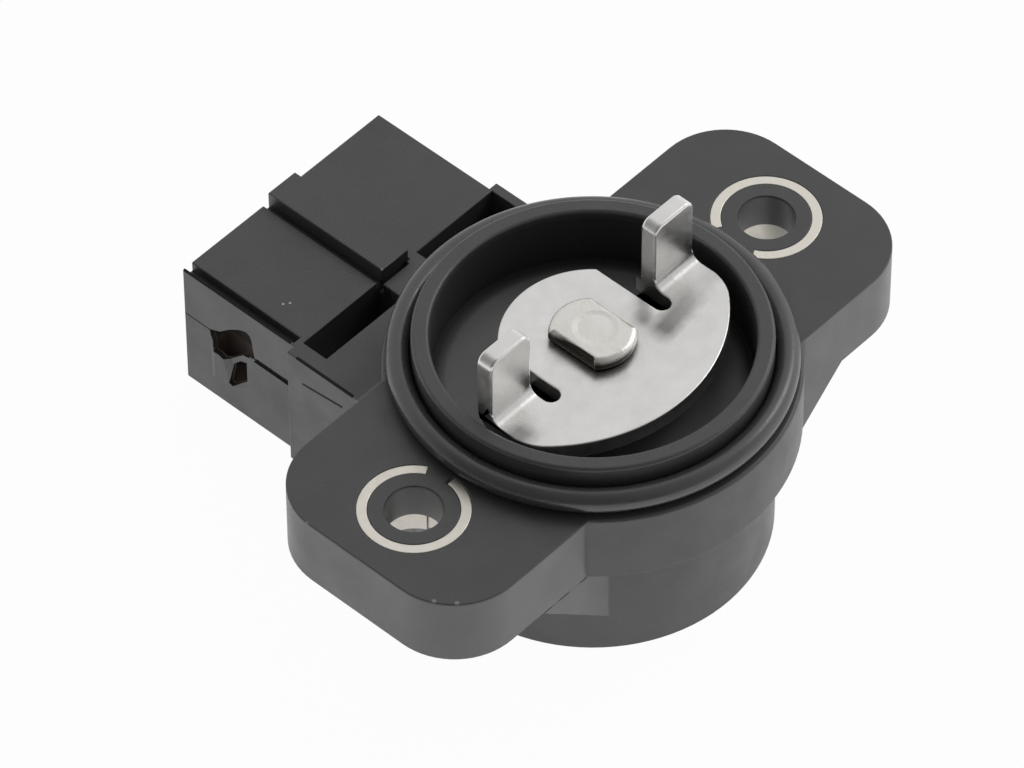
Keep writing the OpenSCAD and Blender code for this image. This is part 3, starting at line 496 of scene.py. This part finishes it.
def satin_sheet():
    """Rolled steel sheet: satin face with cloudy tarnish, painted shade beside a slot's end and along the
    tabs' feet, and a dish at each slot.
    """
    f = Finish("satin_sheet", (0.62, 0.61, 0.59), 0.34, metallic=1.0)
    cloud = f.noise(2.2 * MM, 4, 0.6)
    tarnish = f.mixed(f.spread(cloud, 0.3, 0.7), SHEET_DULL, SHEET_BRIGHT)
    waver = f.math("MULTIPLY", f.noise(0.9 * MM, 3, 0.6), 0.7 * MM)
    # Painted shade: a patch beside the right slot's end
    shade_patch = f.fading(f.math("ADD", f.far(SLOT_SHADE_PATCH), waver), 0.4 * MM, 1.5 * MM, 0.45)
    # Painted shade: a slanted band along each tab's foot
    across = f.math("ABSOLUTE", f.axis("X"), 0)
    slant = f.math("MULTIPLY", f.math("SUBTRACT", across, BEND_START), BEND_SLANT)
    beside = f.math("SUBTRACT", f.math("ADD", f.axis("Y"), waver), slant)
    right = f.all_of(f.spread(f.axis("X"), 2.9 * MM, 4.3 * MM),
                     f.spread(f.axis("X"), 4.8 * MM, 9.4 * MM, 1.0, 0.25))
    left = f.fading(f.axis("X"), -10.4 * MM, -9.3 * MM, 0.8)
    on_face = f.within(0.15 * MM, Z=(PLATE_TOP - 0.3 * MM, PLATE_TOP + 0.5 * MM))
    band = f.all_of(f.inside(beside, *BEND_FOOT, 0.5 * MM), f.any_of(right, left), on_face)
    shade = f.any_of(shade_patch, f.math("MULTIPLY", band, 0.8))
    f.drive("Base Color", f.mixed(shade, tarnish, SHEET_SHADE))
    f.drive("Roughness", f.spread(f.noise(0.9 * MM, 4, 0.6), 0.3, 0.7, 0.28, 0.4))
    f.bump(f.noise(0.25 * MM, 3, 0.6), 0.01 * MM)
    for side in (-1, 1):
        centre = (side * SLOT_END.x, SLOT_END.y, SLOT_END.z)
        dish = f.spread(f.far(centre), 0.6 * MM, 2.6 * MM)
        f.bump(f.math("POWER", dish, 0.5), 0.12 * MM)
    return f.material


def head_steel():
    """The riveted head: the same steel, warmer and softer where the punch worked it, with painted dark
    reflection round its foot and painted brownish reflection on the near flat's roll; the far flat's roll is
    made non-metallic to show pale, painted light where a dark reflection would be.
    """
    f = Finish("head_steel", (0.72, 0.7, 0.65), 0.34, metallic=1.0)
    cloud = f.noise(1.4 * MM, 3, 0.6)
    worked_and_shaded = f.mixed(f.spread(cloud, 0.3, 0.7), HEAD_DULL, HEAD_BRIGHT)
    near_flat = f.fading(f.axis("X"), -HEAD_FLAT + 0.17 * MM, -HEAD_FLAT + 0.45 * MM)
    wedge = f.all_of(f.spread(f.axis("Y"), 1.9 * MM, -0.9 * MM, 0.0, 0.8 * MM), near_flat,
                     f.spread(f.axis("Y"), -2.3 * MM, -1.9 * MM))
    height = f.math("SUBTRACT", f.axis("Z"), wedge)
    # Painted brownish reflection on the near flat's roll
    brown_reflection = f.all_of(near_flat, f.fading(height, HEAD_TOP - 0.3 * MM, HEAD_TOP - 0.1 * MM, 0.8))
    worked_and_shaded = f.mixed(brown_reflection, worked_and_shaded, HEAD_REFLECTION_BROWN)
    # Painted dark reflection round the head's foot, left off on the far flat
    foot = f.fading(height, HEAD_TOP - 0.5 * MM, HEAD_TOP - 0.28 * MM, 0.96)
    far_flat = f.all_of(f.spread(f.axis("X"), 1.7 * MM, 2.2 * MM),
                        f.spread(f.axis("Y"), -2.3 * MM, -1.0 * MM))
    foot = f.all_of(foot, f.math("SUBTRACT", 1.0, far_flat))
    f.drive("Base Color", f.mixed(foot, worked_and_shaded, HEAD_FOOT_SHADE_BLACK))
    # Painted light: the far flat's roll is made non-metallic so it shows pale
    rolled = f.fading(f.axis("Z"), HEAD_TOP - 0.1 * MM, HEAD_TOP - 0.02 * MM)
    f.drive("Metallic", f.math("SUBTRACT", 1.0, f.all_of(far_flat, rolled)))
    f.drive("Roughness", f.spread(f.noise(0.7 * MM, 3), 0.3, 0.7, 0.24, 0.38))
    f.bump(f.noise(0.5 * MM, 3, 0.6), 0.03 * MM)
    from_punch = f.far(Vector((0.15 * MM, -0.1 * MM, HEAD_TOP)))
    f.bump(f.spread(from_punch, 1.35 * MM, 1.8 * MM), 0.07 * MM)
    return f.material


def bush_steel():
    """Pale ground end of the rolled bushes, and their darker bore."""
    f = Finish("bush_steel", (0.86, 0.82, 0.74), 0.42, metallic=1.0)
    bore = f.fading(f.axis("Z"), -0.5 * MM, -0.2 * MM)
    f.drive("Base Color", f.mixed(bore, BUSH_PALE, BUSH_BORE_GREY))
    f.drive("Roughness", f.spread(f.noise(0.6 * MM, 3), 0.3, 0.7, 0.36, 0.5))
    f.bump(f.noise(0.2 * MM, 2), 0.006 * MM)
    return f.material


def tinned_brass():
    """Tinned terminals and printed leads."""
    f = Finish("tinned_brass", (0.7, 0.69, 0.66), 0.3, metallic=1.0)
    f.bump(f.noise(0.4 * MM, 3), 0.004 * MM)
    return f.material


def sintered_bronze():
    """Bearing, washer and wiper."""
    f = Finish("sintered_bronze", (0.62, 0.43, 0.22), 0.36, metallic=1.0)
    f.bump(f.noise(0.15 * MM, 3), 0.008 * MM)
    return f.material


def spring_wire():
    """Drawn spring steel."""
    f = Finish("spring_wire", (0.45, 0.45, 0.46), 0.3, metallic=1.0)
    f.bump(f.noise(0.2 * MM, 2), 0.004 * MM)
    return f.material


def laminate():
    """Green resin laminate of the board."""
    f = Finish("laminate", (0.05, 0.13, 0.07), 0.4)
    f.drive("Base Color", f.mixed(f.noise(0.5 * MM, 3), BOARD_DARK, BOARD_GREEN))
    f.bump(f.noise(0.3 * MM, 2), 0.004 * MM)
    return f.material


def carbon_print():
    """Matt carbon ink of the resistive track."""
    f = Finish("carbon_print", (0.015, 0.015, 0.016), 0.6)
    f.bump(f.noise(0.1 * MM, 3), 0.004 * MM)
    return f.material


def in_window(place):
    """Whether a place is at the latch window, whose skin keeps its own triangles and sharp edges."""
    along = WINDOW_ALONG[0] < place.y < WINDOW_ALONG[1]
    return place.x < WINDOW_RIGHT and along and WINDOW_HEIGHT[0] < place.z < WINDOW_HEIGHT[1]


def on_rib(place):
    """Whether a place is on the key rib's far top edge, which shows no radius."""
    return abs(place.x - RIB_SIDE) < NEAR and abs(place.z - RIB_TOP) < NEAR and place.y > RIB_END


def shallow_dip(verts):
    """Lets the dip under the latch window run out level at its foot and at its outer end."""
    for vert in verts:
        place = vert.co
        on_floor = in_window(place) and abs(place.x + DIP_FLOOR) < 0.03 * MM
        if on_floor and (place.z < DIP_FOOT or place.y > DIP_END):
            place.x = -SHROUD_SIDE


def clean_copy(node, name):
    """A merged copy of a node's mesh, with the triangles of each flat face joined."""
    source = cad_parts[node]
    mesh = source.data.copy()
    mesh.name = name
    build = bmesh.new()
    build.from_mesh(mesh)
    bmesh.ops.remove_doubles(build, verts=build.verts, dist=MERGE)
    if node == "housing":
        shallow_dip(build.verts)
    plain = [v for v in build.verts if not in_window(v.co)]
    joined = [e for e in build.edges if not (in_window(e.verts[0].co) or in_window(e.verts[1].co))]
    bmesh.ops.dissolve_limit(
        build, angle_limit=FLAT_ANGLE, verts=plain, edges=joined, delimit=set()
    )
    build.to_mesh(mesh)
    build.free()
    for attribute in list(mesh.attributes):
        if attribute.name.startswith("custom_normal"):
            mesh.attributes.remove(attribute)
    return link(bpy.data.objects.new(name, mesh))


def coat(mesh, material):
    """Gives the whole of a new mesh one material."""
    mesh.materials.clear()
    mesh.materials.append(material)
    for polygon in mesh.polygons:
        polygon.material_index = 0


def eased_edges(node, name, material, width, segments=2, wide=None, wider=3.0, crisp=False):
    """Stands for a node with the same form and its edges rounded, as the tool leaves them.

    wide tells by an edge's middle whether it is one of the edges with the larger radius, which is
    wider times the width, and crisp leaves the inner corners sharp.
    """
    obj = clean_copy(node, name)
    coat(obj.data, material)
    for polygon in obj.data.polygons:
        at_window = any(in_window(obj.data.vertices[i].co) for i in polygon.vertices)
        polygon.use_smooth = not (at_window and polygon.normal.x < -0.999)
    build = bmesh.new()
    build.from_mesh(obj.data)
    weight = build.edges.layers.float.new("bevel_weight_edge")
    for edge in build.edges:
        middle = (edge.verts[0].co + edge.verts[1].co) / 2
        if len(edge.link_faces) != 2 or edge.calc_face_angle() < EDGE_ANGLE:
            continue
        if in_window(middle) or on_rib(middle) or (crisp and not edge.is_convex):
            edge.smooth = False
        else:
            edge[weight] = 1.0 if wide and wide(middle) else 1.0 / wider
    build.to_mesh(obj.data)
    build.free()
    bevel = obj.modifiers.new("eased", "BEVEL")
    bevel.width = width * wider
    bevel.segments = segments
    bevel.limit_method = "WEIGHT"
    bevel.use_clamp_overlap = False
    bevel.miter_outer = "MITER_ARC"
    bevel.harden_normals = True
    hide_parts(node)
    return obj


def moulded_radius(middle):
    """The housing's edges that the tool rounds more: the spigot's rim and the collar."""
    reach = math.hypot(middle.x, middle.y)
    on_rim = middle.z > RIM_TOP - NEAR
    on_collar = abs(middle.z) < NEAR and abs(reach - COLLAR) < 2 * NEAR
    return on_rim or on_collar


def tab_edge(middle):
    """The driver plate's edges that the trimming leaves rounder: those of the tabs."""
    return middle.z > PLATE_TOP + TAB_START


def rolled_profile(radius, steps):
    """The steps in and up of a rounded edge: a quarter circle of this radius."""
    turn = math.pi / 2 / steps
    return [(radius * (math.cos(i * turn) - math.cos((i + 1) * turn)),
             radius * (math.sin((i + 1) * turn) - math.sin(i * turn))) for i in range(steps)]


def riveted_head(build):
    """The peened head: waisted where it sits on the plate, with a rolled upper edge."""
    bmesh.ops.create_circle(
        build, cap_ends=True, segments=HEAD_SEGMENTS, radius=HEAD_OUTLINE,
        matrix=Matrix.Translation((0, 0, PLATE_TOP + HEAD_WAIST)),
    )
    for side in (-1, 1):
        bmesh.ops.bisect_plane(
            build, geom=build.verts[:] + build.edges[:] + build.faces[:],
            plane_co=(side * HEAD_FLAT, 0, 0), plane_no=(side, 0, 0), clear_outer=True,
        )
    corners = [v for v in build.verts if abs(abs(v.co.x) - HEAD_FLAT) < 0.001 * MM]
    bmesh.ops.bevel(build, geom=corners, offset=HEAD_CORNER, segments=CORNER_SEGMENTS, profile=0.5,
                    affect="VERTICES", material=-1)
    bmesh.ops.remove_doubles(build, verts=build.verts, dist=0.02 * MM)
    bmesh.ops.delete(build, geom=build.faces[:], context="FACES_ONLY")
    outline = build.edges[:]
    wall = HEAD_TOP - PLATE_TOP - HEAD_WAIST - HEAD_ROLL
    upward = [(0, wall)] + rolled_profile(HEAD_ROLL, ROLL_STEPS)
    downward = [(step_in, -step_up) for step_in, step_up in rolled_profile(HEAD_WAIST, WAIST_STEPS)]
    for steps in (upward, downward):
        ring, width, length = outline, HEAD_FLAT, HEAD_OUTLINE
        for step_in, step_up in steps:
            grown = bmesh.ops.extrude_edge_only(build, edges=ring)["geom"]
            ring = [item for item in grown if isinstance(item, bmesh.types.BMEdge)]
            points = [item for item in grown if isinstance(item, bmesh.types.BMVert)]
            narrower = ((width - step_in) / width, (length - step_in) / length, 1)
            bmesh.ops.scale(build, verts=points, vec=narrower)
            bmesh.ops.translate(build, verts=points, vec=(0, 0, step_up))
            width, length = width - step_in, length - step_in
        bmesh.ops.edgeloop_fill(build, edges=ring)
    bmesh.ops.recalc_face_normals(build, faces=build.faces)


def riveted_shaft(material):
    """The shaft as the solid has it, with the head formed anew over the driver plate."""
    shaft = clean_copy("rotor_shaft", "riveted_shaft")
    build = bmesh.new()
    build.from_mesh(shaft.data)
    cut = bmesh.ops.bisect_plane(
        build, geom=build.verts[:] + build.edges[:] + build.faces[:],
        plane_co=(0, 0, PLATE_TOP - NEAR), plane_no=(0, 0, 1), clear_outer=True,
    )
    rim = [item for item in cut["geom_cut"] if isinstance(item, bmesh.types.BMEdge)]
    bmesh.ops.holes_fill(build, edges=rim)
    head = bmesh.new()
    riveted_head(head)
    formed = bpy.data.meshes.new("head_formed")
    head.to_mesh(formed)
    head.free()
    build.from_mesh(formed)
    build.to_mesh(shaft.data)
    build.free()
    bpy.data.meshes.remove(formed)
    coat(shaft.data, material)
    shaft.data.shade_smooth()
    shaft.data.set_sharp_from_angle(angle=HEAD_ANGLE)
    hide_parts("rotor_shaft")
    return shaft


def wound_spring(material):
    """The return spring as the solid has it: its lower leg turns with the rotor, the coils wind up."""
    spring = clean_copy("return_spring", "wound_spring")
    coat(spring.data, material)
    spring.data.shade_smooth()
    spring.data.set_sharp_from_angle(angle=WIRE_ANGLE)
    heights = [vert.co.z for vert in spring.data.vertices]
    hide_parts("return_spring")
    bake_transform(spring, HOUSING_BODY, ROTOR_BODY, start=(0, 0, max(heights) - SPRING_WIRE / 2),
             end=(0, 0, min(heights) + SPRING_LEG))
    return spring


def o_ring(material):
    """The O-ring as a fine torus around the spigot."""
    build = bmesh.new()
    middle, height = RING_MIDDLE
    bmesh.ops.create_circle(
        build, segments=RING_SEGMENTS, radius=RING_SECTION / 2,
        matrix=Matrix.Translation((middle, 0, height)) @ Matrix.Rotation(math.pi / 2, 4, "X"),
    )
    bmesh.ops.spin(
        build, geom=build.verts[:] + build.edges[:], cent=(0, 0, 0), axis=(0, 0, 1),
        angle=math.tau, steps=RING_STEPS, use_merge=True,
    )
    bmesh.ops.recalc_face_normals(build, faces=build.faces)
    mesh = bpy.data.meshes.new("spigot_o_ring")
    build.to_mesh(mesh)
    build.free()
    for polygon in mesh.polygons:
        polygon.use_smooth = True
    mesh.materials.append(material)
    ring = link(bpy.data.objects.new("spigot_o_ring", mesh))
    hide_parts("flange_o_ring")
    return ring


def paint(node, material):
    """Gives a node that keeps its own mesh its finish."""
    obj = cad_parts[node]
    obj.data.materials.clear()
    obj.data.materials.append(material)


def studio_floor():
    """White table under the sensor that runs out of the picture."""
    build = bmesh.new()
    bmesh.ops.create_circle(build, cap_ends=True, segments=TABLE_SEGMENTS, radius=TABLE_RADIUS)
    bmesh.ops.translate(build, verts=build.verts, vec=(0, 0, BACK_FACE - TABLE_DROP))
    mesh = bpy.data.meshes.new("table")
    build.to_mesh(mesh)
    build.free()
    floor = link(bpy.data.objects.new("table", mesh))
    f = Finish("table_white", (0.93, 0.93, 0.93), 0.9, specular=0.1)
    glow = f.nodes.new("ShaderNodeEmission")
    glow.inputs["Color"].default_value = (1, 1, 1, 1)
    path = f.nodes.new("ShaderNodeLightPath").outputs
    seen = f.math("MAXIMUM", path["Is Camera Ray"], path["Is Glossy Ray"])
    blend = f.nodes.new("ShaderNodeMixShader")
    f.links.new(f.math("MULTIPLY", seen, TABLE_GLOW), blend.inputs["Fac"])
    f.links.new(f.shader.outputs["BSDF"], blend.inputs[1])
    f.links.new(glow.outputs["Emission"], blend.inputs[2])
    f.links.new(blend.outputs["Shader"], f.nodes["Material Output"].inputs["Surface"])
    mesh.materials.append(f.material)


def studio_world():
    """White tent, open and dark behind the camera, brighter on the right."""
    world = bpy.data.worlds.new("white_tent")
    world.use_nodes = True
    nodes = world.node_tree.nodes
    links = world.node_tree.links
    way = nodes.new("ShaderNodeTexCoord").outputs["Generated"]

    def towards(direction, low, high, strength):
        """This strength around a direction, fading out towards its sides."""
        dot = nodes.new("ShaderNodeVectorMath")
        dot.operation = "DOT_PRODUCT"
        dot.inputs[1].default_value = Vector(direction).normalized()
        links.new(way, dot.inputs[0])
        fade = nodes.new("ShaderNodeMapRange")
        fade.interpolation_type = "SMOOTHSTEP"
        fade.inputs["From Min"].default_value = low
        fade.inputs["From Max"].default_value = high
        fade.inputs["To Max"].default_value = strength
        links.new(dot.outputs["Value"], fade.inputs["Value"])
        return fade.outputs["Result"]

    light = nodes.new("ShaderNodeMath")
    links.new(towards(OPEN_SIDE, 0.0, 0.6, -TENT_OPENING), light.inputs[0])
    links.new(towards(BRIGHT_SIDE, 0.2, 0.9, TENT_BRIGHT), light.inputs[1])
    total = nodes.new("ShaderNodeMath")
    total.inputs[1].default_value = TENT_LEVEL
    links.new(light.outputs[0], total.inputs[0])
    links.new(total.outputs[0], nodes["Background"].inputs["Strength"])
    nodes["Background"].inputs["Color"].default_value = (1, 1, 1, 1)
    bpy.context.scene.world = world


def softbox(name, place, size, power):
    """Square lamp that faces the sensor."""
    data = bpy.data.lights.new(name, "AREA")
    data.shape = "SQUARE"
    data.size = size
    data.energy = power
    lamp = link(bpy.data.objects.new(name, data))
    lamp.location = place
    lamp.rotation_euler = (-Vector(place)).to_track_quat("-Z", "Y").to_euler()


place_camera()
studio_floor()
studio_world()
softbox("key_softbox", KEY_PLACE, KEY_SIZE, KEY_POWER)

plastic = moulded_black()
rubber = ring_rubber()
sheet = satin_sheet()
bush = bush_steel()
head_finish = head_steel()
tin = tinned_brass()
bronze = sintered_bronze()
wire = spring_wire()

dressed = (
    (eased_edges("housing", "housing_moulding", plastic, MOULD_EDGE, wide=moulded_radius, crisp=True),
     HOUSING_BODY, "black_plastic"),
    (eased_edges("driver_plate", "driver_plate_sheet", sheet, SHEET_EDGE, 4, wide=tab_edge, wider=2.0),
     ROTOR_BODY, "plate_steel"),
    (riveted_shaft(head_finish), ROTOR_BODY, "plate_steel"),
    (eased_edges("mounting_bush_left", "left_bush_ring", bush, BUSH_EDGE),
     HOUSING_BODY, "bright_steel"),
    (eased_edges("mounting_bush_right", "right_bush_ring", bush, BUSH_EDGE),
     HOUSING_BODY, "bright_steel"),
    (o_ring(rubber), HOUSING_BODY, "rubber"),
)
for piece, body, slot in dressed:
    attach(piece, body)

for node in ("shaft_seal", "cover_gasket"):
    paint(node, rubber)
for node in ("thrust_washer", "shaft_bearing", "wiper"):
    paint(node, bronze)
paint("retaining_clip", wire)
wound_spring(wire)
for node in ("supply_terminal", "signal_terminal", "ground_terminal", "solder_joints",
             "collector_track", "conductor_leads"):
    paint(node, tin)
paint("resistor_board", laminate())
paint("resistor_track", carbon_print())
for node in ("rotor_carrier", "back_cover"):
    paint(node, plastic)

bpy.context.scene.view_settings.view_transform = "Standard"
